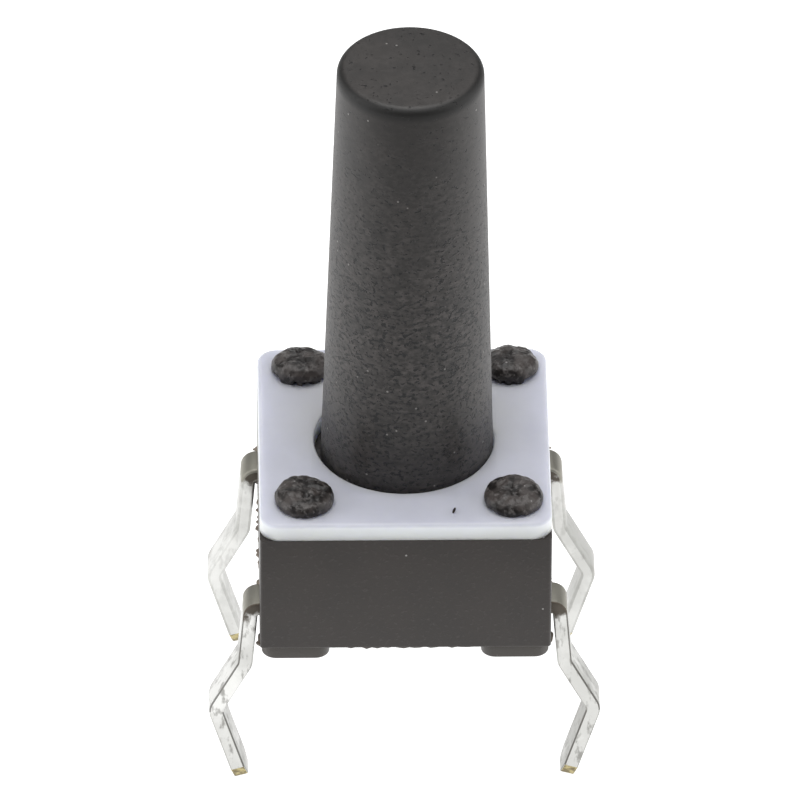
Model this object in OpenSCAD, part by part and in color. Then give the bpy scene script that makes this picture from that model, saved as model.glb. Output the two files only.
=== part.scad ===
// Tactile push button switch with a tall button and four snap-in pins.
// Millimetres. z = 0 is the face of the board that the feet stand on, and the
// origin is the centre of the square body there. The pins reach below the board.

/* [Body] */
// Width and depth of the square body
body_w = 6.0; // [5:0.1:8]
// Height of the cover's top above the board
body_h = 3.5; // [3.4:0.1:5]
// Radius of the base's upright corners
base_corner_r = 0.15; // [0.05:0.05:0.4]
// Height of the feet under the base
foot_h = 0.3; // [0.2:0.05:0.5]
// Width of each foot
foot_w = 1.4; // [0.8:0.1:1.6]
// How far the feet stand in from the base's sides
foot_inset = 0.04; // [0:0.02:0.2]

/* [Cover] */
// Thickness of the cover plate
cover_t = 0.39; // [0.2:0.01:0.6]
// Radius of the cover's corners
cover_corner_r = 0.4; // [0.1:0.05:0.6]

/* [Stakes] */
// Diameter of the posts that pass through the cover
stake_d = 0.8; // [0.6:0.05:1]
// Diameter of their melted heads
stake_head_d = 1.3; // [1.1:0.02:1.4]
// Height of their melted heads above the cover
stake_head_h = 0.34; // [0.2:0.02:0.45]
// Distance from the posts' axes to the left and right sides
stake_inset_x = 0.85; // [0.7:0.05:1]
// Distance from the posts' axes to the front and back
stake_inset_y = 0.75; // [0.7:0.05:1]
// Gap round each post in the cover
stake_clear = 0.03; // [0.01:0.01:0.1]

/* [Button] */
// Height of the button's top above the cover
button_h = 9.5; // [0.8:0.1:14]
// Diameter of the button where it leaves the cover
button_base_d = 3.55; // [2.8:0.05:4.2]
// Diameter of the button at its top
button_top_d = 3.02; // [2.4:0.01:4.2]
// Radius of the button's top edge
button_edge_r = 0.15; // [0.05:0.01:0.4]
// Gap round the button in the cover's bore
button_clear = 0.085; // [0.05:0.005:0.2]
// How much of that gap the loose button takes up on the right
button_lean = 0.75; // [0:0.05:0.8]
// Thickness of the flange that keeps the button in
flange_t = 0.8; // [0.4:0.1:1]
// How far the flange reaches under the cover past the bore
flange_lip = 0.2; // [0.1:0.05:0.4]
// Gap round the flange in the base's pocket
flange_clear = 0.1; // [0.08:0.01:0.3]
// Gap between the flange and the cover at rest
flange_lift = 0.02; // [0.01:0.01:0.05]
// Diameter of the nub that presses the dome
nub_d = 1.4; // [0.8:0.1:1.8]

/* [Contacts] */
// Thickness of the contact frames' sheet
sheet_t = 0.3; // [0.2:0.02:0.4]
// Height of the frames' upper face above the board
frame_top_z = 1.15; // [1:0.05:1.3]
// Width of the contact arms and of the contact tongue
arm_w = 0.7; // [0.5:0.05:0.9]
// How far the tongue and the arms reach past the body's middle
arm_past = 0.45; // [0.4:0.05:0.7]
// Thickness of the snap dome
dome_t = 0.08; // [0.05:0.01:0.12]
// Free travel under the dome's crown, which is the switch's travel
dome_rise = 0.28; // [0.2:0.02:0.4]
// Gap round the dome in the base's pocket
dome_clear = 0.1; // [0.05:0.01:0.2]
// Gap that keeps the dome clear of what touches it at rest
dome_lift = 0.02; // [0.01:0.01:0.03]

/* [Pins] */
// Width of a pin
pin_w = 0.7; // [0.5:0.05:0.9]
// Width of a pin's end after its edges are cut back
pin_end_w = 0.44; // [0.2:0.02:0.5]
// Length of those cut edges
pin_end_h = 0.3; // [0.1:0.02:0.4]
// Length of the pins below the board
pin_len = 3.5; // [3:0.1:4.5]
// Distance from the pins' middle to the body's front or back
pin_inset_y = 0.75; // [0.7:0.05:0.8]
// Gap between the top of a pin and the body's side
pin_gap = 0.03; // [0.02:0.01:0.15]
// How far a pin leans outwards by the time it turns
pin_lean = 0.12; // [0:0.01:0.2]
// How far a pin's end stands outside the body's side
pin_end_out = 0.36; // [0.1:0.02:0.5]
// Depth below the board where a pin turns outwards
kink_top = 0.45; // [0.3:0.05:0.6]
// Depth below the board of the pin's outermost bend
kink_mid = 1.65; // [1.4:0.05:1.9]
// How far that bend stands out from the one above it
kink_out = 0.62; // [0.3:0.02:0.8]
// Centreline radius of the two lower bends
kink_r = 0.35; // [0.25:0.05:0.5]

/* [Hidden] */

round_fn = 96;      // facets of round parts where they are drawn
bend_steps = 8;     // steps round each bend of a pin
edge_steps = 6;     // steps round the button's top edge
cut_past = 1;       // how far a cutting solid runs past what it cuts

half_w = body_w / 2;
base_top_z = body_h - cover_t;
frame_low_z = frame_top_z - sheet_t;

bore_d = button_base_d + 2 * button_clear;
flange_d = bore_d + 2 * flange_lip;
pocket_d = flange_d + 2 * flange_clear;
dome_d = pocket_d - 2 * dome_clear;

stake_x = half_w - stake_inset_x;
stake_y = half_w - stake_inset_y;

dome_z = frame_top_z + dome_lift;
crown_z = dome_z + dome_rise + dome_t;
dome_ball_r = (pow(dome_d / 2, 2) + pow(dome_rise, 2)) / (2 * dome_rise);

button_x = button_lean * button_clear;
flange_top_z = base_top_z - flange_lift;
flange_low_z = flange_top_z - flange_t;
nub_z = crown_z + dome_lift;

pin_x = half_w + pin_gap + sheet_t / 2;
pin_y = half_w - pin_inset_y;
arm_x = dome_d / 2 - arm_w / 2;

// The bend at the body's side starts there and has the widest radius that fits.
shoulder_r = pin_x - half_w;

// Centreline of the right pin in x and z, with each bend's radius.
turn_x = pin_x + pin_lean;
lower_run = [half_w + pin_end_out - turn_x - kink_out, kink_mid - pin_len];
end_tilt = atan2(-lower_run.x, -lower_run.y);
pin_path = [
    [half_w, frame_low_z + sheet_t / 2, 0],
    [pin_x, frame_low_z + sheet_t / 2, shoulder_r],
    [turn_x, -kink_top, kink_r],
    [turn_x + kink_out, -kink_mid, kink_r],
    [half_w + pin_end_out, -pin_len + sheet_t / 2 * sin(end_tilt), 0]
];

function unit(v) = v / norm(v);
function turned(v, angle) = [
    v.x * cos(angle) - v.y * sin(angle),
    v.x * sin(angle) + v.y * cos(angle)
];
function flat(p) = [p.x, p.y];
function reversed(list) = [for (i = [len(list) - 1:-1:0]) list[i]];

// Points round the bend at corner, offset to the left of the centreline by side.
function bend_points(before, corner, after, r, side) =
    let (
        u = unit(corner - before),
        v = unit(after - corner),
        turn = atan2(cross(u, v), u * v),
        start = corner - u * r * tan(abs(turn) / 2),
        n = turned(u, 90),
        centre = start + sign(turn) * r * n
    )
    [for (k = [0:bend_steps])
        centre + turned((side - sign(turn) * r) * n, turn * k / bend_steps)];

// One side of a strip bent along path, offset to the left of it by side.
function strip_side(path, side) =
    let (
        last = len(path) - 1,
        first_n = turned(unit(flat(path[1]) - flat(path[0])), 90),
        last_n = turned(unit(flat(path[last]) - flat(path[last - 1])), 90)
    )
    [
        flat(path[0]) + side * first_n,
        for (i = [1:last - 1])
            each bend_points(flat(path[i - 1]), flat(path[i]), flat(path[i + 1]),
                path[i][2], side),
        flat(path[last]) + side * last_n
    ];

// A square of side w with round corners, centred on the origin.
module round_square(w, r) {
    square([w - 2 * r, w], center = true);
    square([w, w - 2 * r], center = true);
    for (x = [-1, 1], y = [-1, 1])
        translate([x * (w / 2 - r), y * (w / 2 - r)])
            circle(r, $fn = round_fn);
}

module at_stakes() {
    for (x = [-stake_x, stake_x], y = [-stake_y, stake_y])
        translate([x, y, 0])
            children();
}

// A post through the cover with the head that a hot tool forms on it.
module stake() {
    cap_r = (pow(stake_head_d / 2, 2) + pow(stake_head_h, 2)) / (2 * stake_head_h);
    rim_h = stake_head_h * 0.3;
    dome_h = stake_head_h - rim_h;
    ball_r = (pow(stake_head_d / 2, 2) + pow(dome_h, 2)) / (2 * dome_h);
    cylinder(h = body_h - base_top_z, d = stake_d, $fn = round_fn);
    translate([0, 0, body_h - base_top_z])
        rotate_extrude($fn = round_fn) {
            square([stake_head_d / 2, rim_h]);
            translate([0, rim_h])
                intersection() {
                    translate([0, dome_h - ball_r])
                        circle(ball_r, $fn = round_fn * 2);
                    square([stake_head_d / 2, dome_h]);
                }
        }
}

// Plan of the strip that joins the two pins of one frame.
module frame_bar(y) {
    translate([-half_w, y - pin_w / 2])
        square([body_w, pin_w]);
}

// Plan of the frame under the dome's rim: two arms reach forward from the rear bar.
module rim_frame_plan() {
    frame_bar(pin_y);
    for (x = [-arm_x, arm_x])
        translate([x - arm_w / 2, -arm_past])
            square([arm_w, pin_y + arm_past]);
}

// Plan of the frame under the dome's crown: one tongue reaches back from the front bar.
module centre_frame_plan() {
    frame_bar(-pin_y);
    translate([-arm_w / 2, -pin_y])
        square([arm_w, pin_y + arm_past - arm_w / 2]);
    translate([0, arm_past - arm_w / 2])
        circle(d = arm_w, $fn = round_fn);
}

// The right pin: a strip bent along pin_path, with its end's edges cut back.
module pin() {
    low = -pin_len - cut_past;
    high = frame_top_z + cut_past;
    slope = (pin_w - pin_end_w) / 2 / pin_end_h;
    low_w = max(pin_end_w - 2 * slope * cut_past, 0);
    intersection() {
        rotate([90, 0, 0])
            linear_extrude(pin_w, center = true)
                polygon(concat(
                    strip_side(pin_path, sheet_t / 2),
                    reversed(strip_side(pin_path, -sheet_t / 2))
                ));
        rotate([90, 0, 90])
            linear_extrude(turn_x + kink_out + cut_past)
                polygon([
                    [-pin_w / 2, high],
                    [-pin_w / 2, -pin_len + pin_end_h],
                    [-low_w / 2, low],
                    [low_w / 2, low],
                    [pin_w / 2, -pin_len + pin_end_h],
                    [pin_w / 2, high]
                ]);
    }
}

module pins(y) {
    translate([0, y, 0]) {
        pin();
        mirror([1, 0, 0])
            pin();
    }
}

module base() {
    color("#2e2c2b")
        difference() {
            union() {
                translate([0, 0, foot_h])
                    linear_extrude(base_top_z - foot_h)
                        round_square(body_w, base_corner_r);
                feet();
                translate([0, 0, base_top_z])
                    at_stakes()
                        stake();
            }
            translate([0, 0, frame_top_z])
                cylinder(h = body_h, d = pocket_d, $fn = round_fn);
            translate([0, 0, frame_low_z])
                linear_extrude(sheet_t) {
                    rim_frame_plan();
                    centre_frame_plan();
                }
        }
}

module feet() {
    foot_at = half_w - foot_inset - foot_w / 2;
    for (x = [-foot_at, foot_at], y = [-foot_at, foot_at])
        translate([x, y, 0])
            linear_extrude(foot_h + sheet_t / 2)
                round_square(foot_w, base_corner_r * 2);
}

module cover() {
    color("#d9dae4")
        translate([0, 0, base_top_z])
            linear_extrude(cover_t)
                difference() {
                    round_square(body_w, cover_corner_r);
                    circle(d = bore_d, $fn = round_fn);
                    at_stakes()
                        circle(d = stake_d + 2 * stake_clear, $fn = round_fn);
                }
}

module button() {
    top_z = body_h + button_h;
    top_r = button_top_d / 2;
    color("#2b2a2a")
        translate([button_x, 0, 0])
            rotate_extrude($fn = round_fn)
                polygon([
                    [0, nub_z],
                    [nub_d / 2, nub_z],
                    [nub_d / 2, flange_low_z],
                    [flange_d / 2, flange_low_z],
                    [flange_d / 2, flange_top_z],
                    [button_base_d / 2, flange_top_z],
                    [button_base_d / 2, body_h],
                    for (k = [0:edge_steps])
                        [
                            top_r - button_edge_r * (1 - cos(90 * k / edge_steps)),
                            top_z - button_edge_r * (1 - sin(90 * k / edge_steps))
                        ],
                    [0, top_z]
                ]);
}

module snap_dome() {
    color("#c9c9c4")
        rotate_extrude($fn = round_fn * 2)
            intersection() {
                translate([0, dome_z + dome_rise - dome_ball_r])
                    difference() {
                        circle(dome_ball_r + dome_t, $fn = round_fn * 8);
                        circle(dome_ball_r, $fn = round_fn * 8);
                    }
                translate([0, dome_z])
                    square([dome_d / 2, dome_rise + 2 * dome_t]);
            }
}

module contact_frame(y) {
    color("#d6d6cf") {
        translate([0, 0, frame_low_z])
            linear_extrude(sheet_t)
                children();
        pins(y);
    }
}

module rim_contact_frame() {
    contact_frame(pin_y)
        rim_frame_plan();
}

module centre_contact_frame() {
    contact_frame(-pin_y)
        centre_frame_plan();
}

base();
cover();
button();
snap_dome();
rim_contact_frame();
centre_contact_frame();
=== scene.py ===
"""Looks of a small square push button switch: plated pins, dark base, pale cover, tall black button."""
import math
import random

import bmesh
import bpy
from mathutils import Matrix, Vector


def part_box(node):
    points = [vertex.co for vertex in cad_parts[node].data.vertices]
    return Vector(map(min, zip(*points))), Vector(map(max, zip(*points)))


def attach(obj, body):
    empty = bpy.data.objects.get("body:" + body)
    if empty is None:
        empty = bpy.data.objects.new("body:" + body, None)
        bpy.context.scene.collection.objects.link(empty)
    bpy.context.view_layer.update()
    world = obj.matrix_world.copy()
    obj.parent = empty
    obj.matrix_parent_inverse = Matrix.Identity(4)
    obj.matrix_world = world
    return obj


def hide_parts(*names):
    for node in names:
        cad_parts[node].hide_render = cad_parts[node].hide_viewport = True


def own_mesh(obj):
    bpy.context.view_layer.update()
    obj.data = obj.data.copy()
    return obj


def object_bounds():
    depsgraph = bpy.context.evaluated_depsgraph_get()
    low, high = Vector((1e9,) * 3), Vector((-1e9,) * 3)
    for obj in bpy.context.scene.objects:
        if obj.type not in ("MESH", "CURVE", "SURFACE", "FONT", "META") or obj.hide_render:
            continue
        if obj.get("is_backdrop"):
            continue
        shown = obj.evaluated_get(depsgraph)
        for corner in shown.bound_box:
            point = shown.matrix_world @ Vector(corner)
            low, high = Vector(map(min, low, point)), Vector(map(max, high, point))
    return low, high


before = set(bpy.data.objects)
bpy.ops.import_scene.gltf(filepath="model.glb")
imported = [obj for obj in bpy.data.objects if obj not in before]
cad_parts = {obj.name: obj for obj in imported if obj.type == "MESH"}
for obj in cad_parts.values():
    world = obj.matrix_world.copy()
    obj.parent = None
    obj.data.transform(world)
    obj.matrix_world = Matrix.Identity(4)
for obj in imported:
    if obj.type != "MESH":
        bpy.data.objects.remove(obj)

low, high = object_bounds()


# Camera. A long lens looks down on the switch from the front, turned a touch to
# its left, so that the upright edges stay parallel.
MM = 0.001
VIEW_AZIMUTH, VIEW_ELEVATION, VIEW_ROLL = (math.radians(angle) for angle in (-1.12, 37.56, 0.33))
VIEW_DISTANCE = 400 * MM
VIEW_LENS = 873.8
VIEW_AIM = (low + high) / 2 + Vector((-0.084, -0.030, -0.291)) * MM

back = Vector((
    math.sin(VIEW_AZIMUTH) * math.cos(VIEW_ELEVATION),
    -math.cos(VIEW_AZIMUTH) * math.cos(VIEW_ELEVATION),
    math.sin(VIEW_ELEVATION),
))
level = Vector((math.cos(VIEW_AZIMUTH), math.sin(VIEW_AZIMUTH), 0))
right = level * math.cos(VIEW_ROLL) + back.cross(level) * math.sin(VIEW_ROLL)
turn = Matrix((right, back.cross(right), back)).transposed()
camera = bpy.data.objects.new("camera", bpy.data.cameras.new("camera"))
camera.data.lens = VIEW_LENS
camera.matrix_world = Matrix.LocRotScale(VIEW_AIM + back * VIEW_DISTANCE, turn.to_quaternion(), None)
bpy.context.collection.objects.link(camera)
bpy.context.scene.camera = camera


# Contact frames. Each is one strip of sheet brass, stamped, silver plated and
# bent: a bar through the base with a pin at each end, and the arms or the tongue
# under the dome. The plating is dull and stained, and the cut tips are bare brass.
SHEET = 0.3
SHEET_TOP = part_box("rim_contact_frame")[1].z / MM
SHEET_MID = SHEET_TOP - SHEET / 2
STRIP_EDGE = 0.06
BODY_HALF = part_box("cover")[1].x / MM
PIN_WIDTH = 0.7
PIN_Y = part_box("rim_contact_frame")[1].y / MM - PIN_WIDTH / 2
PIN_GAP, PIN_LEAN = 0.03, 0.12
PIN_X = BODY_HALF + PIN_GAP + SHEET / 2
PIN_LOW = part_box("rim_contact_frame")[0].z / MM
PIN_END_WIDTH, PIN_END_LENGTH, PIN_END_OUT = 0.44, 0.3, 0.36
KINK_TOP, KINK_MID, KINK_OUT = -0.45, -1.65, 0.62
SHOULDER_RADIUS, KINK_RADIUS = PIN_X - BODY_HALF, 0.35
ARM_WIDTH = 0.7
ARM_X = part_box("snap_dome")[1].x / MM - ARM_WIDTH / 2
ARM_PAST = -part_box("rim_contact_frame")[0].y / MM
TOUCHING = 0.001
NEAR = 0.01


def add(shape, name, scale=(1, 1, 1), **how):
    """Adds a primitive in millimetres, selected alone, with its place in its mesh."""
    bpy.ops.object.select_all(action="DESELECT")
    getattr(bpy.ops.mesh, f"primitive_{shape}_add")(**how)
    piece = bpy.context.object
    piece.scale = scale
    piece.name = piece.data.name = name
    bpy.ops.object.transform_apply(location=True, rotation=True, scale=True)
    return piece


def block(name, low_corner, high_corner):
    a, b = Vector(low_corner), Vector(high_corner)
    return add("cube", name, size=1, location=(a + b) / 2, scale=b - a)


def take_up(piece):
    """Makes the piece the active one and the only one selected."""
    bpy.ops.object.select_all(action="DESELECT")
    bpy.context.view_layer.objects.active = piece
    piece.select_set(True)


def pick(piece, kind, test=lambda part: True):
    """Opens the piece in edit mode with only the parts that pass the test selected."""
    if piece.mode != "EDIT":
        take_up(piece)
        bpy.ops.object.mode_set(mode="EDIT")
    bpy.ops.mesh.select_mode(type=kind)
    bpy.ops.mesh.select_all(action="DESELECT")
    mesh = bmesh.from_edit_mesh(piece.data)
    mesh.normal_update()
    for part in {"VERT": mesh.verts, "EDGE": mesh.edges, "FACE": mesh.faces}[kind]:
        if test(part):
            part.select_set(True)
    mesh.select_flush_mode()
    bmesh.update_edit_mesh(piece.data)


def middle(part):
    return sum((v.co for v in part.verts), Vector()) / len(part.verts)


def is_upright(edge):
    return abs(edge.verts[0].co.z - edge.verts[1].co.z) > NEAR


def face_outwards():
    bpy.ops.mesh.select_all(action="SELECT")
    bpy.ops.mesh.normals_make_consistent(inside=False)


def close():
    bpy.ops.object.mode_set(mode="OBJECT")


def modify(piece, kind, **settings):
    """Adds a modifier and applies it."""
    take_up(piece)
    made = piece.modifiers.new(kind.lower(), kind)
    for key, value in settings.items():
        setattr(made, key, value)
    bpy.ops.object.modifier_apply(modifier=made.name)


def combine(piece, tool, operation):
    modify(piece, "BOOLEAN", operation=operation, object=tool, solver="EXACT")
    bpy.data.objects.remove(tool)


def copy_to(piece, name, offset):
    """Copies a piece with its own mesh and moves the copy."""
    made = piece.copy()
    made.data = piece.data.copy()
    made.name = made.data.name = name
    bpy.context.collection.objects.link(made)
    pick(made, "FACE")
    bpy.ops.transform.translate(value=offset)
    close()
    return made


def finish_piece(piece, material, body, smooth_angle=35):
    """Brings a piece from millimetres to metres and gives it its material, body and slot."""
    take_up(piece)
    piece.scale = (MM, MM, MM)
    bpy.ops.object.transform_apply(location=True, rotation=True, scale=True)
    bpy.ops.object.shade_smooth_by_angle(angle=math.radians(smooth_angle))
    if material.name not in piece.data.materials:
        piece.data.materials.append(material)
    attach(piece, body)


def give(tree, socket, value):
    """Feeds a socket from another node's output, or sets it to a plain value."""
    if isinstance(value, bpy.types.NodeSocket):
        tree.links.new(value, socket)
    else:
        socket.default_value = value


def add_node(tree, kind, inputs, **settings):
    made = tree.nodes.new("ShaderNode" + kind)
    for key, value in settings.items():
        setattr(made, key, value)
    for socket, value in inputs.items():
        give(tree, made.inputs[socket], value)
    return made


def math_node(tree, operation, a, b, clamp=False):
    return add_node(tree, "Math", {0: a, 1: b}, operation=operation, use_clamp=clamp).outputs[0]


def times(tree, a, b):
    return math_node(tree, "MULTIPLY", a, b)


def ramp(tree, value, start, end, first=0.0, last=1.0, soft=False):
    """Goes from first to last while the value goes from start to end, and stays level past them."""
    inputs = {"Value": value, "From Min": start, "From Max": end, "To Min": first, "To Max": last}
    course = "SMOOTHSTEP" if soft else "LINEAR"
    return add_node(tree, "MapRange", inputs, interpolation_type=course).outputs[0]


def blend_colours(tree, share, a, b):
    made = add_node(tree, "Mix", {}, data_type="RGBA")
    for number, value in ((0, share), (6, a), (7, b)):
        give(tree, made.inputs[number], value)
    return made.outputs[2]


def split(tree, place):
    """The three coordinates of a place."""
    return add_node(tree, "SeparateXYZ", {"Vector": place}).outputs


def stretch(tree, place, scale):
    return add_node(tree, "Mapping", {"Vector": place, "Scale": scale}).outputs[0]


def new_material(name, **plain):
    """A Principled material with the object's own coordinates in millimetres."""
    made = bpy.data.materials.new(name)
    made.use_nodes = True
    tree = made.node_tree
    shader = tree.nodes["Principled BSDF"]
    for key, value in plain.items():
        shader.inputs[key.replace("_", " ").title().replace("Ior", "IOR")].default_value = value
    place = add_node(tree, "TexCoord", {}).outputs["Object"]
    return made, tree, shader, stretch(tree, place, (1 / MM,) * 3)


def new_group(name, ins):
    """A node group that puts out one mask. Each input has a name, a kind and perhaps a start value."""
    tree = bpy.data.node_groups.new(name, "ShaderNodeTree")
    for socket, kind, *start in ins:
        made = tree.interface.new_socket(socket, in_out="INPUT", socket_type=f"NodeSocket{kind}")
        if start:
            made.default_value = start[0]
    tree.interface.new_socket("Mask", in_out="OUTPUT", socket_type="NodeSocketFloat")
    inner = tree.nodes.new("NodeGroupInput").outputs
    return tree, inner, tree.nodes.new("NodeGroupOutput").inputs["Mask"]


def use_group(tree, group, **inputs):
    made = tree.nodes.new("ShaderNodeGroup")
    made.node_tree = group
    for key, value in inputs.items():
        give(tree, made.inputs[key.replace("_", " ").title()], value)
    return made.outputs[0]


def make_blotches_group():
    """Soft uneven patches: a noise stretched so that only its peaks show."""
    tree, ins, mask = new_group("blotches", [
        ("Place", "Vector"), ("Per Mm", "Float"), ("Floor", "Float"), ("Ceiling", "Float"),
        ("Detail", "Float", 5.0),
    ])
    noise = add_node(tree, "TexNoise", {
        "Vector": ins["Place"], "Scale": ins["Per Mm"], "Detail": ins["Detail"], "Roughness": 0.6,
    }).outputs[0]
    tree.links.new(ramp(tree, noise, ins["Floor"], ins["Ceiling"], soft=True), mask)
    return tree


def add_bump(tree, shader, height):
    """Height is in millimetres."""
    bump = add_node(tree, "Bump", {"Height": height, "Strength": 1.0, "Distance": MM})
    tree.links.new(bump.outputs[0], shader.inputs["Normal"])


def make_plating(name, bright, dull_and_shaded, bend_tarnish_and_shade):
    """Silver plate with grey stains and streaks. It is duller and darker on the right,
    a painted shade, and darker in its bend colour where the strip bends down beside
    the body, partly tarnish and partly painted shade between pin and body."""
    stain_grey, stain_strength = (0.27, 0.26, 0.24, 1), 0.45
    streak_grey, streak_strength = (0.21, 0.205, 0.19, 1), 0.75
    bend_low, bend_high, bend_ragged = 0.82, 1.02, 0.22
    made, tree, shader, place = new_material(name, metallic=1.0)
    across, depth, height = split(tree, place)
    cloud = use_group(tree, blotches, place=place, per_mm=0.9, floor=0.35, ceiling=0.65)
    # Painted shade: the pins grow duller and darker towards the right.
    right_side_shade = ramp(tree, across, -4.0, 4.0, first=-0.1, last=0.5)
    colour = blend_colours(tree, math_node(tree, "ADD", cloud, right_side_shade, clamp=True), bright, dull_and_shaded)
    stain = use_group(tree, blotches, place=place, per_mm=1.9, floor=0.60, ceiling=0.72)
    colour = blend_colours(tree, times(tree, stain, stain_strength), colour, stain_grey)
    along = stretch(tree, place, (1, 1, 0.4))
    streak = use_group(tree, blotches, place=along, per_mm=6.5, floor=0.51, ceiling=0.66, detail=3.0)
    in_front = ramp(tree, depth, 1.0, -1.0, first=0.3)
    streak = times(tree, streak, in_front)
    colour = blend_colours(tree, times(tree, streak, streak_strength), colour, streak_grey)
    # Darker where the strip bends down beside the body: partly tarnish, partly painted shade between pin and
    # body.
    ragged = use_group(tree, blotches, place=place, per_mm=5.0, floor=0.3, ceiling=0.7)
    ragged = math_node(tree, "ADD", height, times(tree, ragged, bend_ragged))
    near_bend_tarnish_and_shade = ramp(tree, ragged, bend_low, bend_high, soft=True)
    colour = blend_colours(tree, near_bend_tarnish_and_shade, colour, bend_tarnish_and_shade)
    tree.links.new(colour, shader.inputs["Base Color"])
    rough = ramp(tree, cloud, 0, 1, first=0.30, last=0.42)
    rough = math_node(tree, "ADD", rough, times(tree, near_bend_tarnish_and_shade, 0.22))
    tree.links.new(rough, shader.inputs["Roughness"])
    add_bump(tree, shader, times(tree, stain, 0.004))
    return made


def make_bare_brass():
    light_brass, dark_brass = (0.50, 0.43, 0.22, 1), (0.20, 0.165, 0.09, 1)
    made, tree, shader, place = new_material("bare_brass", metallic=1.0, roughness=0.35)
    grit = use_group(tree, blotches, place=place, per_mm=7.0, floor=0.4, ceiling=0.6)
    tree.links.new(blend_colours(tree, grit, light_brass, dark_brass), shader.inputs["Base Color"])
    add_bump(tree, shader, times(tree, grit, 0.01))
    return made


def make_pins():
    """Two pins and the bar between them at y = 0: a side-on ribbon is bent, widened and mirrored."""
    lean = math.atan2(PIN_LEAN, SHEET_MID - KINK_TOP)
    upper_tilt = math.atan2(KINK_OUT, KINK_TOP - KINK_MID)
    drop = KINK_MID - PIN_LOW
    lower_tilt = math.atan2(PIN_X + PIN_LEAN + KINK_OUT - BODY_HALF - PIN_END_OUT, drop)
    shoulder_cut = SHOULDER_RADIUS * math.tan((math.pi / 2 - lean) / 2)
    upper_cut = KINK_RADIUS * math.tan((upper_tilt - lean) / 2)
    lower_cut = KINK_RADIUS * math.tan((upper_tilt + lower_tilt) / 2)
    upright_run = math.hypot(PIN_LEAN, SHEET_MID - KINK_TOP) - shoulder_cut - upper_cut
    upper_run = math.hypot(KINK_OUT, KINK_TOP - KINK_MID) - upper_cut - lower_cut
    lower_run = (drop - SHEET / 2 * math.sin(lower_tilt)) / math.cos(lower_tilt) - lower_cut
    bend_start = PIN_X - shoulder_cut

    piece = add("plane", "pins", size=1, rotation=(math.pi / 2, 0, 0), scale=(bend_start, SHEET, 1),
                location=(bend_start / 2, -PIN_WIDTH / 2, SHEET_MID))
    spot, heading = Vector((bend_start, -PIN_WIDTH / 2, SHEET_MID)), Vector((1, 0, 0))
    pick(piece, "EDGE", lambda e: middle(e).x > bend_start - TOUCHING)

    def run(length):
        nonlocal spot
        bpy.ops.mesh.extrude_region_move(TRANSFORM_OT_translate={"value": heading * length})
        spot = spot + heading * length

    def bend(angle, radius):
        """A positive angle turns the right-hand pin clockwise as seen from the front."""
        nonlocal spot, heading
        axis = Vector((0, 1, 0))
        side = Matrix.Rotation(math.copysign(math.pi / 2, angle), 3, axis) @ heading
        centre = spot + side * radius
        bpy.ops.mesh.spin(steps=8, angle=-angle, center=centre, axis=axis)
        whirl = Matrix.Rotation(angle, 3, axis)
        spot, heading = centre + whirl @ (spot - centre), whirl @ heading

    bend(math.pi / 2 - lean, SHOULDER_RADIUS)
    run(upright_run)
    bend(lean - upper_tilt, KINK_RADIUS)
    run(upper_run)
    bend(upper_tilt + lower_tilt, KINK_RADIUS)
    run(lower_run - PIN_END_LENGTH)
    run(PIN_END_LENGTH)
    tip = spot.copy()
    bpy.ops.mesh.select_all(action="SELECT")
    bpy.ops.mesh.extrude_region_move(TRANSFORM_OT_translate={"value": (0, PIN_WIDTH, 0)})
    face_outwards()
    pick(piece, "VERT", lambda v: (v.co - tip).dot(heading) > -NEAR)
    bpy.ops.transform.resize(value=(1, PIN_END_WIDTH / PIN_WIDTH, 1), center_override=(tip.x, 0, tip.z))
    pick(piece, "FACE", lambda f: middle(f).x < TOUCHING and abs(f.normal.x) > 0.9)
    bpy.ops.mesh.delete(type="FACE")
    close()
    modify(piece, "MIRROR", use_mirror_merge=True, merge_threshold=TOUCHING)
    return piece, heading


def add_arms(piece):
    """Two arms that reach forwards under the dome's rim, grown a little into the bar."""
    for number, x in enumerate((-ARM_X, ARM_X)):
        arm = block(f"arm_{number}", (x - ARM_WIDTH / 2, -ARM_PAST, SHEET_TOP - SHEET),
                    (x + ARM_WIDTH / 2, PIN_Y, SHEET_TOP))
        combine(piece, arm, "UNION")


def add_tongue(piece):
    """One round-ended tongue that reaches back under the dome's crown."""
    tongue = block("tongue", (-ARM_WIDTH / 2, -PIN_Y, SHEET_TOP - SHEET),
                   (ARM_WIDTH / 2, ARM_PAST, SHEET_TOP))
    pick(tongue, "EDGE", lambda e: middle(e).y > ARM_PAST - TOUCHING and is_upright(e))
    bpy.ops.mesh.bevel(offset=ARM_WIDTH / 2 - TOUCHING, segments=12, affect="EDGES")
    close()
    combine(piece, tongue, "UNION")


def finish_frame(strip, name, shiny_edges):
    """Rounds the strip's edges and gives its faces, bare tips, edges and stamped sides their own finish."""
    faces, bare_tips, edges, stamped_sides = range(4)
    for material in (plating, bare_brass, plated_edges, plated_cuts):
        strip.data.materials.append(material)
    modify(strip, "BEVEL", width=STRIP_EDGE, segments=3, limit_method="ANGLE", angle_limit=math.radians(40),
           material=edges)
    for face in strip.data.polygons:
        normal = face.normal
        mirrored = Vector((abs(normal.x) * math.copysign(1, pin_heading.x), 0, normal.z))
        is_cut = mirrored.dot(pin_heading) > 0.97 or abs(normal.y) > 0.5 and normal.z < -0.1
        if is_cut and face.center.z < PIN_LOW + PIN_END_LENGTH:
            face.material_index = bare_tips
        elif face.material_index == faces and abs(normal.y) > 0.9:
            face.material_index = stamped_sides
        elif face.material_index == edges and (shiny_edges or normal.z < NEAR):
            face.material_index = faces
    finish_piece(strip, plating, "switch_body")
    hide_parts(name)


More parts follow.
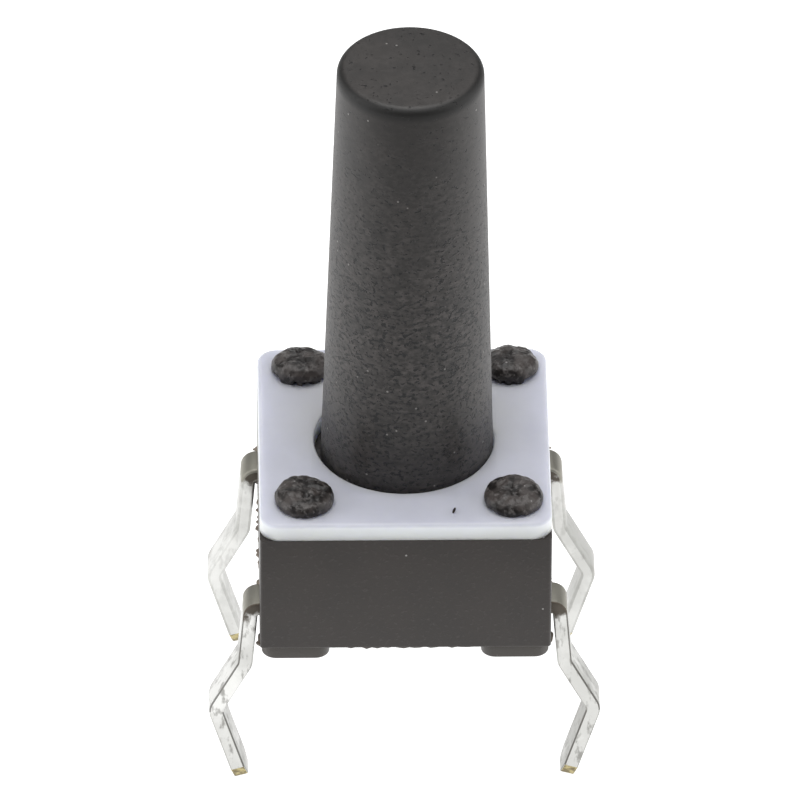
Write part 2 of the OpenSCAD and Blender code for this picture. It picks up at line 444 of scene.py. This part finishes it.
blotches = make_blotches_group()
# The dull colours also stand for painted shade on the right-hand pins, and the bend colours for tarnish and
# painted shade beside the body.
plating = make_plating("plated_faces", bright=(0.64, 0.64, 0.62, 1), dull_and_shaded=(0.42, 0.42, 0.40, 1),
                       bend_tarnish_and_shade=(0.33, 0.32, 0.28, 1))
plated_edges = make_plating("plated_edges", bright=(0.20, 0.20, 0.19, 1), dull_and_shaded=(0.14, 0.135, 0.125, 1),
                            bend_tarnish_and_shade=(0.14, 0.12, 0.10, 1))
plated_cuts = make_plating("plated_cuts", bright=(0.72, 0.72, 0.70, 1), dull_and_shaded=(0.58, 0.58, 0.56, 1),
                           bend_tarnish_and_shade=(0.13, 0.115, 0.098, 1))
bare_brass = make_bare_brass()
pins, pin_heading = make_pins()
rim_frame = copy_to(pins, "rim_contact_frame_strip", (0, PIN_Y, 0))
add_arms(rim_frame)
finish_frame(rim_frame, "rim_contact_frame", shiny_edges=True)
centre_frame = copy_to(pins, "centre_contact_frame_strip", (0, -PIN_Y, 0))
add_tongue(centre_frame)
finish_frame(centre_frame, "centre_contact_frame", shiny_edges=False)
bpy.data.objects.remove(pins)


# Base. One moulding of black-brown plastic round the two frames, with a pocket
# for the dome and the flange and four low feet. It carries a little flash along
# its lower rim, on its left parting line and round the pins.
BASE_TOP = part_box("cover")[0].z / MM
BASE_LOW = 0.3
CORNER_RADIUS, LOWER_EDGE = 0.07, 0.03
FOOT, FOOT_IN, FOOT_CORNER = 1.4, 0.04, 0.3
FOOT_FAR, FOOT_ROOT = BODY_HALF - FOOT_IN, 0.1
DOME_CLEAR = 0.1
POCKET_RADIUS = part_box("snap_dome")[1].x / MM + DOME_CLEAR
FLASH_THICK, FLASH_ROOT, FLASH_STEP = 0.03, 0.03, 0.02
FLASH_SUNK = 0.012


def round_block(name, low_corner, high_corner, upright):
    """A block with rounded upright corners and a softened lower rim."""
    piece = block(name, low_corner, high_corner)
    pick(piece, "EDGE", is_upright)
    bpy.ops.mesh.bevel(offset=upright, segments=8, affect="EDGES")
    pick(piece, "EDGE", lambda e: max(v.co.z for v in e.verts) < low_corner[2] + TOUCHING)
    bpy.ops.mesh.bevel(offset=LOWER_EDGE, segments=3, affect="EDGES")
    close()
    return piece


def make_specks_group():
    """Separate small spots: cells of which a share holds a spot of the given size."""
    tree, ins, mask = new_group("specks", [
        ("Place", "Vector"), ("Per Mm", "Float"), ("Size", "Float"), ("Share", "Float")])
    cells = add_node(tree, "TexVoronoi", {"Vector": ins["Place"], "Scale": ins["Per Mm"]})
    draw = add_node(tree, "SeparateColor", {"Color": cells.outputs["Color"]}).outputs[0]
    kept = math_node(tree, "LESS_THAN", draw, ins["Share"])
    spot = ramp(tree, cells.outputs["Distance"], ins["Size"], times(tree, ins["Size"], 0.5), soft=True)
    tree.links.new(times(tree, kept, spot), mask)
    return tree


def make_moulded(name, light, dark):
    """Moulded plastic, clouded, with a fine grey bloom, a painted highlight along the lower rim and a few
    specks of dust.
    """
    bloom_grey, rim_highlight_grey = (0.042, 0.034, 0.030, 1), (0.050, 0.043, 0.037, 1)
    dust_grey = (0.30, 0.29, 0.28, 1)
    made, tree, shader, place = new_material(name, roughness=0.33, specular_ior_level=0.43)
    cloud = use_group(tree, blotches, place=place, per_mm=0.9, floor=0.3, ceiling=0.7)
    colour = blend_colours(tree, cloud, light, dark)
    bloom = use_group(tree, blotches, place=place, per_mm=9.0, floor=0.5, ceiling=0.8)
    colour = blend_colours(tree, times(tree, bloom, 0.5), colour, bloom_grey)
    # Painted highlight: a paler band along the lower rim.
    at_rim_highlight = ramp(tree, split(tree, place)[2], BASE_LOW + 0.06, BASE_LOW - 0.02)
    colour = blend_colours(tree, at_rim_highlight, colour, rim_highlight_grey)
    dust = use_group(tree, specks, place=place, per_mm=3.2, size=0.09, share=0.12)
    colour = blend_colours(tree, dust, colour, dust_grey)
    tree.links.new(colour, shader.inputs["Base Color"])
    add_bump(tree, shader, times(tree, bloom, 0.004))
    return made


def add_flash(name, start, end, outward, width, patch, keep, seed):
    """A thin fin that runs from start to end and stands out from the wall by up to
    width. Its reach changes from patch to patch, fades over the first and last quarter
    and stays in the wall where the draw is below keep."""
    start, end, outward = Vector(start), Vector(end), Vector(outward)
    heading = (end - start).normalized()
    spread = (FLASH_ROOT, FLASH_THICK, 1) if outward.z == 0 else (FLASH_THICK, FLASH_ROOT, 1)
    piece = add("plane", name, size=1, location=start - outward * (FLASH_ROOT / 2), scale=spread,
                rotation=heading.to_track_quat("Z", "Y").to_euler())
    pick(piece, "FACE")
    rng = random.Random(seed)
    count = int((end - start).length / FLASH_STEP)
    knots = [max(0.0, rng.random() - keep) / (1 - keep) for _ in range(int(count * FLASH_STEP / patch) + 3)]
    reach = FLASH_ROOT
    for number in range(1, count + 1):
        knot, share = divmod(number * FLASH_STEP / patch, 1)
        rise = knots[int(knot)] * (1 - share) + knots[int(knot) + 1] * share
        rise *= min(1, number * 4 / count, (count - number) * 4 / count)
        wanted = FLASH_ROOT - FLASH_SUNK + rise * width
        bpy.ops.mesh.extrude_region_move(TRANSFORM_OT_translate={"value": heading * FLASH_STEP})
        grow = Vector((1, 1, 1)) + Vector(abs(c) for c in outward) * (wanted / reach - 1)
        root = start + heading * (FLASH_STEP * number) - outward * FLASH_ROOT
        bpy.ops.transform.resize(value=grow, center_override=root)
        reach = wanted
    face_outwards()
    close()
    finish_piece(piece, thin_flash, "switch_body")


specks = make_specks_group()
moulded_black = make_moulded("moulded_black_plastic", light=(0.022, 0.0155, 0.012, 1),
                             dark=(0.0165, 0.0115, 0.009, 1))
thin_flash = make_moulded("thin_brown_flash", light=(0.34, 0.29, 0.24, 1), dark=(0.20, 0.165, 0.135, 1))
base = round_block("base_moulding", (-BODY_HALF, -BODY_HALF, BASE_LOW), (BODY_HALF, BODY_HALF, BASE_TOP),
                   CORNER_RADIUS)
feet = round_block("feet", (FOOT_FAR - FOOT, FOOT_FAR - FOOT, 0), (FOOT_FAR, FOOT_FAR, BASE_LOW + FOOT_ROOT),
                   FOOT_CORNER)
modify(feet, "MIRROR", use_axis=(True, True, False))
combine(base, feet, "UNION")
pocket = add("cylinder", "pocket", vertices=128, radius=POCKET_RADIUS, depth=BASE_TOP,
             location=(0, 0, SHEET_TOP + BASE_TOP / 2))
combine(base, pocket, "DIFFERENCE")
finish_piece(base, moulded_black, "switch_body")
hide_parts("base")

rim_y = -BODY_HALF + 0.03
add_flash("front_rim_flash", (-1.9, rim_y, BASE_LOW), (1.7, rim_y, BASE_LOW), outward=(0, 0, -1),
          width=0.05, patch=0.11, keep=0.35, seed=3)
add_flash("left_parting_flash", (-BODY_HALF, -1.6, SHEET_TOP), (-BODY_HALF, 1.2, SHEET_TOP),
          outward=(-1, 0, 0), width=0.09, patch=0.08, keep=0.3, seed=5)
for x, side_word in ((-1, "left"), (1, "right")):
    for y, end_word in ((-1, "front"), (1, "rear")):
        wall, pin_edge, nub_z = x * BODY_HALF, y * PIN_Y + PIN_WIDTH / 2, BASE_LOW + 0.02
        add_flash(f"{side_word}_{end_word}_pin_flash", (wall, pin_edge - 0.05, SHEET_TOP),
                  (wall, pin_edge + 0.14, SHEET_TOP), outward=(x, 0, 0),
                  width=0.16, patch=0.06, keep=0.0, seed=20 + 3 * x + y)
        add_flash(f"{side_word}_{end_word}_rim_flash", (wall, y * 2.93, nub_z), (wall, y * 2.5, nub_z),
                  outward=(x, 0, 0), width=0.24, patch=0.16, keep=0.0, seed=30 + 3 * x + y)


# Snap dome. A thin round spring of silver-plated bronze, pressed into a shallow
# cap. It lies loose in the pocket.
DOME_LOW, DOME_HIGH = (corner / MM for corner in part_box("snap_dome"))
DOME_SHEET = 0.08
DOME_RINGS = 12


def make_dome():
    rise, reach = DOME_HIGH.z - DOME_LOW.z - DOME_SHEET, DOME_HIGH.x
    ball = (reach ** 2 + rise ** 2) / (2 * rise)
    piece = add("circle", "snap_dome_cap", vertices=96, radius=reach, location=(0, 0, DOME_LOW.z),
                fill_type="NOTHING")
    pick(piece, "VERT")
    for ring in range(1, DOME_RINGS):
        here, there = reach * (1 - (ring - 1) / DOME_RINGS), reach * (1 - ring / DOME_RINGS)
        lift = math.sqrt(ball ** 2 - there ** 2) - math.sqrt(ball ** 2 - here ** 2)
        bpy.ops.mesh.extrude_region_move(TRANSFORM_OT_translate={"value": (0, 0, lift)})
        bpy.ops.transform.resize(value=(there / here, there / here, 1), center_override=(0, 0, 0))
    bpy.ops.mesh.edge_face_add()
    bpy.ops.mesh.poke()
    close()
    for vertex in piece.data.vertices:
        if vertex.co.xy.length < TOUCHING:
            vertex.co.z = DOME_LOW.z + rise
    pick(piece, "FACE")
    face_outwards()
    close()
    modify(piece, "SOLIDIFY", thickness=DOME_SHEET, offset=1)
    return piece


dome = make_dome()
finish_piece(dome, plating, "switch_body")
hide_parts("snap_dome")
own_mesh(dome)


# Button. A tall tapered post of matte black plastic with a smooth round edge. A
# flange keeps it under the cover, and a nub presses the dome. Its surface is
# dusty and finely pitted towards the foot, with a painted shade: a darker,
# slightly rougher band round the edge below its highlight.
BUTTON_LOW, BUTTON_HIGH = (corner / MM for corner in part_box("button"))
BUTTON_X = (BUTTON_LOW.x + BUTTON_HIGH.x) / 2
FLANGE_RADIUS, FLANGE_EDGE = (BUTTON_HIGH.x - BUTTON_LOW.x) / 2, 0.03
FLANGE_GAP, FLANGE_THICK = 0.02, 0.8
FLANGE_TOP = BASE_TOP - FLANGE_GAP
FLANGE_LOW = FLANGE_TOP - FLANGE_THICK
NUB_RADIUS = 0.7
POST_FOOT_RADIUS, POST_TOP_RADIUS, POST_EDGE = 1.775, 1.505, 0.19
POST_BACK, POST_RIGHT = math.radians(0.22), math.radians(0.18)
BORE_Y = -0.07
COVER_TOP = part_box("cover")[1].z / MM


def turn_profile(name, x, y, rings, vertices):
    """A closed solid of revolution about an upright axis, from rings of (radius, height)."""
    radius, height = rings[0]
    piece = add("circle", name, vertices=vertices, radius=radius, location=(x, y, height), fill_type="TRIFAN")
    pick(piece, "FACE")
    for (radius, height), (next_radius, next_height) in zip(rings, rings[1:]):
        bpy.ops.mesh.extrude_region_move(TRANSFORM_OT_translate={"value": (0, 0, next_height - height)})
        bpy.ops.transform.resize(value=(next_radius / radius, next_radius / radius, 1),
                                 center_override=(x, y, next_height))
    face_outwards()
    close()
    return piece


def make_button_black():
    light, dark = (0.024, 0.0205, 0.0185, 1), (0.015, 0.013, 0.012, 1)
    pit_black, edge_shade_black = (0.003, 0.003, 0.003, 1), (0.004, 0.0035, 0.003, 1)
    dust_brown, speck_grey = (0.106, 0.094, 0.090, 1), (0.22, 0.21, 0.20, 1)
    top = BUTTON_HIGH.z
    made, tree, shader, place = new_material("matte_button_plastic")
    height = split(tree, place)[2]
    cloud = use_group(tree, blotches, place=place, per_mm=0.7, floor=0.3, ceiling=0.7)
    colour = blend_colours(tree, cloud, light, dark)

    squat = stretch(tree, place, (1, 1, 1.5))
    grain = use_group(tree, blotches, place=squat, per_mm=7.0, floor=0.36, ceiling=0.66, detail=4.0)
    mottle = use_group(tree, blotches, place=place, per_mm=2.2, floor=0.34, ceiling=0.66, detail=3.0)
    mottled = times(tree, grain, ramp(tree, mottle, 0, 1, first=0.45))
    worn = ramp(tree, height, top - 0.3, top - 7.0, first=0.12, last=0.85)
    dusty = math_node(tree, "MULTIPLY", mottled, worn, clamp=True)
    near_foot = ramp(tree, height, COVER_TOP + 4.3, COVER_TOP + 0.7)
    dusty = times(tree, dusty, ramp(tree, near_foot, 0, 1, first=1.0, last=0.4))
    colour = blend_colours(tree, dusty, colour, dust_brown)

    pit_floor = ramp(tree, height, top - 0.2, top - 5.5, first=0.66, last=0.56)
    pit_ceiling = math_node(tree, "ADD", pit_floor, 0.04)
    pits = use_group(tree, blotches, place=squat, per_mm=9.5, floor=pit_floor, ceiling=pit_ceiling,
                     detail=2.0)
    colour = blend_colours(tree, pits, colour, pit_black)

    # Painted shade: a darker, slightly rougher band round the rounded top edge stands for the dark reflection
    # under the rim's highlight.
    shaded_rougher_edge = times(tree, ramp(tree, height, top - 0.34, top - 0.2), ramp(tree, height, top, top - 0.03))
    colour = blend_colours(tree, shaded_rougher_edge, colour, edge_shade_black)
    dust = use_group(tree, specks, place=place, per_mm=5.0, size=0.15, share=0.12)
    colour = blend_colours(tree, dust, colour, speck_grey)
    tree.links.new(colour, shader.inputs["Base Color"])
    rough = ramp(tree, dusty, 0, 1, first=0.45, last=0.6)
    rough = math_node(tree, "ADD", rough, times(tree, shaded_rougher_edge, 0.12))
    tree.links.new(rough, shader.inputs["Roughness"])
    add_bump(tree, shader, math_node(tree, "SUBTRACT", times(tree, dusty, 0.007), times(tree, pits, 0.045)))
    return made


def make_button():
    def on_taper(height):
        share = (height - COVER_TOP) / (BUTTON_HIGH.z - POST_EDGE - COVER_TOP)
        return POST_FOOT_RADIUS + share * (POST_TOP_RADIUS - POST_FOOT_RADIUS)

    rings = [
        (NUB_RADIUS, BUTTON_LOW.z), (NUB_RADIUS, FLANGE_LOW),
        (FLANGE_RADIUS - FLANGE_EDGE, FLANGE_LOW), (FLANGE_RADIUS, FLANGE_LOW + FLANGE_EDGE),
        (FLANGE_RADIUS, FLANGE_TOP - FLANGE_EDGE), (FLANGE_RADIUS - FLANGE_EDGE, FLANGE_TOP),
        (POST_FOOT_RADIUS, FLANGE_TOP), (POST_FOOT_RADIUS, BASE_TOP), (POST_FOOT_RADIUS, COVER_TOP),
    ]
    rings += [(on_taper(COVER_TOP + step), COVER_TOP + step) for step in range(1, 9)]
    for angle in (math.radians(90 * step / 12) for step in range(13)):
        rings.append((POST_TOP_RADIUS - POST_EDGE * (1 - math.cos(angle)),
                      BUTTON_HIGH.z - POST_EDGE * (1 - math.sin(angle))))
    rings += [(POST_TOP_RADIUS * share, BUTTON_HIGH.z) for share in (0.6, 0.3)]
    piece = turn_profile("push_button_post", BUTTON_X, 0, rings, 160)
    bore_middle = (BUTTON_X, BORE_Y, COVER_TOP)
    pick(piece, "VERT", lambda v: v.co.z > FLANGE_TOP + NEAR)
    bpy.ops.transform.translate(value=(0, BORE_Y, 0))
    bpy.ops.transform.rotate(value=POST_BACK, orient_axis="X", center_override=bore_middle)
    bpy.ops.transform.rotate(value=-POST_RIGHT, orient_axis="Y", center_override=bore_middle)
    close()
    return piece


button = make_button()
finish_piece(button, make_button_black(), "push_button")
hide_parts("button")


# Cover. A flat plate of natural bluish white nylon with a bore for the button. It
# is moulded with soft edges, and it drops over four stakes of the base.
BUTTON_CLEAR = 0.085
BORE_RADIUS = POST_FOOT_RADIUS + BUTTON_CLEAR
COVER_CORNER, COVER_EDGE, COVER_LOWER_EDGE, BORE_EDGE = 0.4, 0.09, 0.008, 0.03
STAKE_X, STAKE_Y = BODY_HALF - 0.85, BODY_HALF - 0.75
STAKE_RADIUS, STAKE_CLEAR = 0.4, 0.03


def make_nylon():
    """Cloudy nylon with a painted shadow of the post, greyer round the back and sides
    of the bore, and a painted highlight that makes it paler below its upper edge."""
    light, dark = (0.53, 0.54, 0.61, 1), (0.49, 0.50, 0.565, 1)
    post_shadow_grey, edge_highlight_pale = (0.44, 0.445, 0.47, 1), (0.83, 0.87, 0.96, 1)
    made, tree, shader, place = new_material(
        "natural_nylon", roughness=0.38, subsurface_weight=0.85, subsurface_scale=0.5 * MM,
        subsurface_radius=(1.0, 1.0, 1.15))
    cloud = use_group(tree, blotches, place=place, per_mm=0.8, floor=0.3, ceiling=0.7)
    colour = blend_colours(tree, cloud, light, dark)
    # Painted shadow of the post: greyer round the back and sides of the bore.
    shadow_centre = (0, BORE_Y + 0.9, COVER_TOP)
    from_shadow_centre = add_node(tree, "VectorMath", {0: place, 1: shadow_centre}, operation="DISTANCE").outputs[1]
    colour = blend_colours(tree, ramp(tree, from_shadow_centre, 2.75, 1.8), colour, post_shadow_grey)
    # Painted highlight: paler on the faces below the upper edge.
    below_edge_highlight = ramp(tree, split(tree, place)[2], COVER_TOP - 0.02, COVER_TOP - 0.08)
    colour = blend_colours(tree, below_edge_highlight, colour, edge_highlight_pale)
    tree.links.new(colour, shader.inputs["Base Color"])
    return made


def on_bore(vertex):
    from_axis = (vertex.co.xy - Vector((0, BORE_Y))).length
    return vertex.co.z > COVER_TOP - TOUCHING and abs(from_axis - BORE_RADIUS) < NEAR


cover = block("cover_plate", (-BODY_HALF, -BODY_HALF, BASE_TOP), (BODY_HALF, BODY_HALF, COVER_TOP))
pick(cover, "EDGE", is_upright)
bpy.ops.mesh.bevel(offset=COVER_CORNER, segments=12, affect="EDGES")
pick(cover, "EDGE", lambda e: min(v.co.z for v in e.verts) > COVER_TOP - TOUCHING)
bpy.ops.mesh.bevel(offset=COVER_EDGE, segments=6, affect="EDGES")
pick(cover, "EDGE", lambda e: max(v.co.z for v in e.verts) < BASE_TOP + TOUCHING)
bpy.ops.mesh.bevel(offset=COVER_LOWER_EDGE, segments=2, affect="EDGES")
close()
holes = [(0, BORE_Y, BORE_RADIUS, 160)]
holes += [(x, y, STAKE_RADIUS + STAKE_CLEAR, 48) for x in (-STAKE_X, STAKE_X) for y in (-STAKE_Y, STAKE_Y)]
for x, y, radius, vertices in holes:
    drill = add("cylinder", "drill", vertices=vertices, radius=radius, depth=4, location=(x, y, COVER_TOP))
    combine(cover, drill, "DIFFERENCE")
pick(cover, "EDGE", lambda e: all(on_bore(v) for v in e.verts))
bpy.ops.mesh.bevel(offset=BORE_EDGE, segments=3, affect="EDGES")
close()
finish_piece(cover, make_nylon(), "switch_body")
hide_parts("cover")


# Crumb. One small dark shaving of the base's plastic, cut off in the making, lies
# loose on the cover near its front edge.
CRUMB_REACH, CRUMB_TURN = Vector((0.028, 0.10, 0.02)), -0.25
crumb = add("ico_sphere", "crumb", subdivisions=3, radius=1, scale=CRUMB_REACH,
            rotation=(0, 0, CRUMB_TURN), location=(0.99, -2.53, COVER_TOP + 0.012))
finish_piece(crumb, moulded_black, "switch_body")


# Stake heads. The base's four stakes come up through the cover, and a hot tool
# presses each into a rough mushroom head, creased a little by the cross in the tool.
HEAD_RADIUS, HEAD_HEIGHT = 0.61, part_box("base")[1].z / MM - COVER_TOP
HEAD_WALL, HEAD_UNDERCUT, HEAD_LIP = 0.13, 0.04, 0.03
GROOVE_RADIUS, GROOVE_RAISED, GROOVE_TURN = 0.16, 0.125, 0.1
HEAD_GRAIN = 0.018
BROAD_LUMPS, FINE_LUMPS = (0.30, 0.12, "Z"), (0.12, 0.014, "NORMAL")
REAR_TILT = 0.17


def make_melted_black():
    light, dark = (0.058, 0.050, 0.047, 1), (0.007, 0.0055, 0.005, 1)
    grain_grey, dust_grey = (0.15, 0.14, 0.135, 1), (0.25, 0.24, 0.235, 1)
    made, tree, shader, place = new_material("melted_black_plastic", roughness=0.38, specular_ior_level=0.36)
    cloud = use_group(tree, blotches, place=place, per_mm=2.6, floor=0.38, ceiling=0.60)
    colour = blend_colours(tree, cloud, light, dark)
    grain = use_group(tree, blotches, place=place, per_mm=8.0, floor=0.52, ceiling=0.66, detail=3.0)
    colour = blend_colours(tree, times(tree, grain, 0.5), colour, grain_grey)
    dust = use_group(tree, specks, place=place, per_mm=7.0, size=0.2, share=0.12)
    colour = blend_colours(tree, dust, colour, dust_grey)
    tree.links.new(colour, shader.inputs["Base Color"])
    add_bump(tree, shader, times(tree, grain, 0.006))
    return made


def make_head(name, x, y, tilt):
    """A mushroom head pressed by a crosswise tool, tilted about X. Its lumps depend on its
    place, so no two heads are alike."""
    rings = [(STAKE_RADIUS, BASE_TOP), (STAKE_RADIUS, COVER_TOP), (HEAD_RADIUS - HEAD_UNDERCUT, COVER_TOP),
             (HEAD_RADIUS, COVER_TOP + HEAD_LIP), (HEAD_RADIUS, COVER_TOP + HEAD_WALL)]
    for step in range(1, 10):
        share = 1 - step / 10
        rings.append((HEAD_RADIUS * share ** 0.8,
                      COVER_TOP + HEAD_WALL + (HEAD_HEIGHT - HEAD_WALL) * math.sqrt(1 - share ** 2.5)))
    piece = turn_profile(name, x, y, rings, 64)
    groove_middle = (x, y, COVER_TOP + HEAD_HEIGHT + GROOVE_RAISED)
    for turned in (GROOVE_TURN, math.pi / 2 + GROOVE_TURN):
        groove = add("cylinder", "groove", vertices=24, radius=GROOVE_RADIUS, depth=1.6,
                     rotation=(math.pi / 2, 0, turned), location=groove_middle)
        combine(piece, groove, "DIFFERENCE")
    modify(piece, "REMESH", mode="VOXEL", voxel_size=HEAD_GRAIN)
    for size, strength, direction in (BROAD_LUMPS, FINE_LUMPS):
        lumps = bpy.data.textures.new(f"{name}_lumps", "CLOUDS")
        lumps.noise_scale = size
        modify(piece, "DISPLACE", texture=lumps, strength=strength, mid_level=0.5, direction=direction)
    pick(piece, "VERT", lambda v: v.co.z > COVER_TOP)
    bpy.ops.transform.rotate(value=tilt, orient_axis="X", center_override=(x, y, COVER_TOP + 0.1))
    close()
    return piece


melted_black = make_melted_black()
for name, x, y, tilt in (("front_left", -2.08, -2.17, 0.0), ("front_right", 2.22, -2.18, 0.0),
                         ("rear_left", -2.10, 2.28, REAR_TILT), ("rear_right", 2.22, 2.28, REAR_TILT)):
    head = make_head(f"stake_head_{name}", x, y, tilt)
    finish_piece(head, melted_black, "switch_body", smooth_angle=60)


# Studio. A pale glowing floor that dims far in front of the switch, one large soft
# light overhead, one on each side and a weak one behind.
FLOOR_DIM_FROM, FLOOR_DIM_TO = -9.0, -18.0
FLOOR_GLOW, FLOOR_DIM_GLOW = 1.05, 0.3
WORLD_GREY = (0.10, 0.10, 0.10, 1)


def make_floor():
    """A matte floor that glows, and that is clear when seen from below."""
    made, tree, shader, place = new_material(
        "pale_floor", roughness=0.9, base_color=(0.3, 0.3, 0.3, 1), specular_ior_level=0.0,
        emission_color=(1, 1, 1, 1))
    depth = split(tree, place)[1]
    glow = ramp(tree, depth, FLOOR_DIM_FROM, FLOOR_DIM_TO, first=FLOOR_GLOW, last=FLOOR_DIM_GLOW)
    tree.links.new(glow, shader.inputs["Emission Strength"])
    facing = add_node(tree, "NewGeometry", {}).outputs["Backfacing"]
    clear = add_node(tree, "BsdfTransparent", {}).outputs[0]
    mixed = add_node(tree, "MixShader", {0: facing, 1: shader.outputs[0], 2: clear}).outputs[0]
    tree.links.new(mixed, tree.nodes["Material Output"].inputs["Surface"])
    return made


def soft_light(name, place, size, radiance):
    """A square light aimed at the origin. Its power follows from the radiance that it should show."""
    lamp = bpy.data.lights.new(name, "AREA")
    lamp.shape, lamp.size = "SQUARE", size
    lamp.energy = radiance * math.pi * size ** 2
    holder = bpy.data.objects.new(name, lamp)
    holder.location = place
    holder.rotation_euler = (-Vector(place)).to_track_quat("-Z", "Y").to_euler()
    bpy.context.collection.objects.link(holder)


floor = add("plane", "floor", size=2, location=(0, 0, low.z))
floor.data.materials.append(make_floor())
floor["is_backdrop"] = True
soft_light("overhead", (0, 0, 0.9), size=0.9, radiance=3.7)
soft_light("left", (-0.9, -0.1, 0.25), size=0.8, radiance=2.4)
soft_light("right", (0.9, -0.1, 0.25), size=0.8, radiance=2.1)
soft_light("rear", (0, 0.72, 0.54), size=0.7, radiance=0.65)
world = bpy.data.worlds.new("world")
world.use_nodes = True
world.node_tree.nodes["Background"].inputs["Color"].default_value = WORLD_GREY
bpy.context.scene.world = world
bpy.context.scene.view_settings.view_transform = "Standard"

low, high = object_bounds()
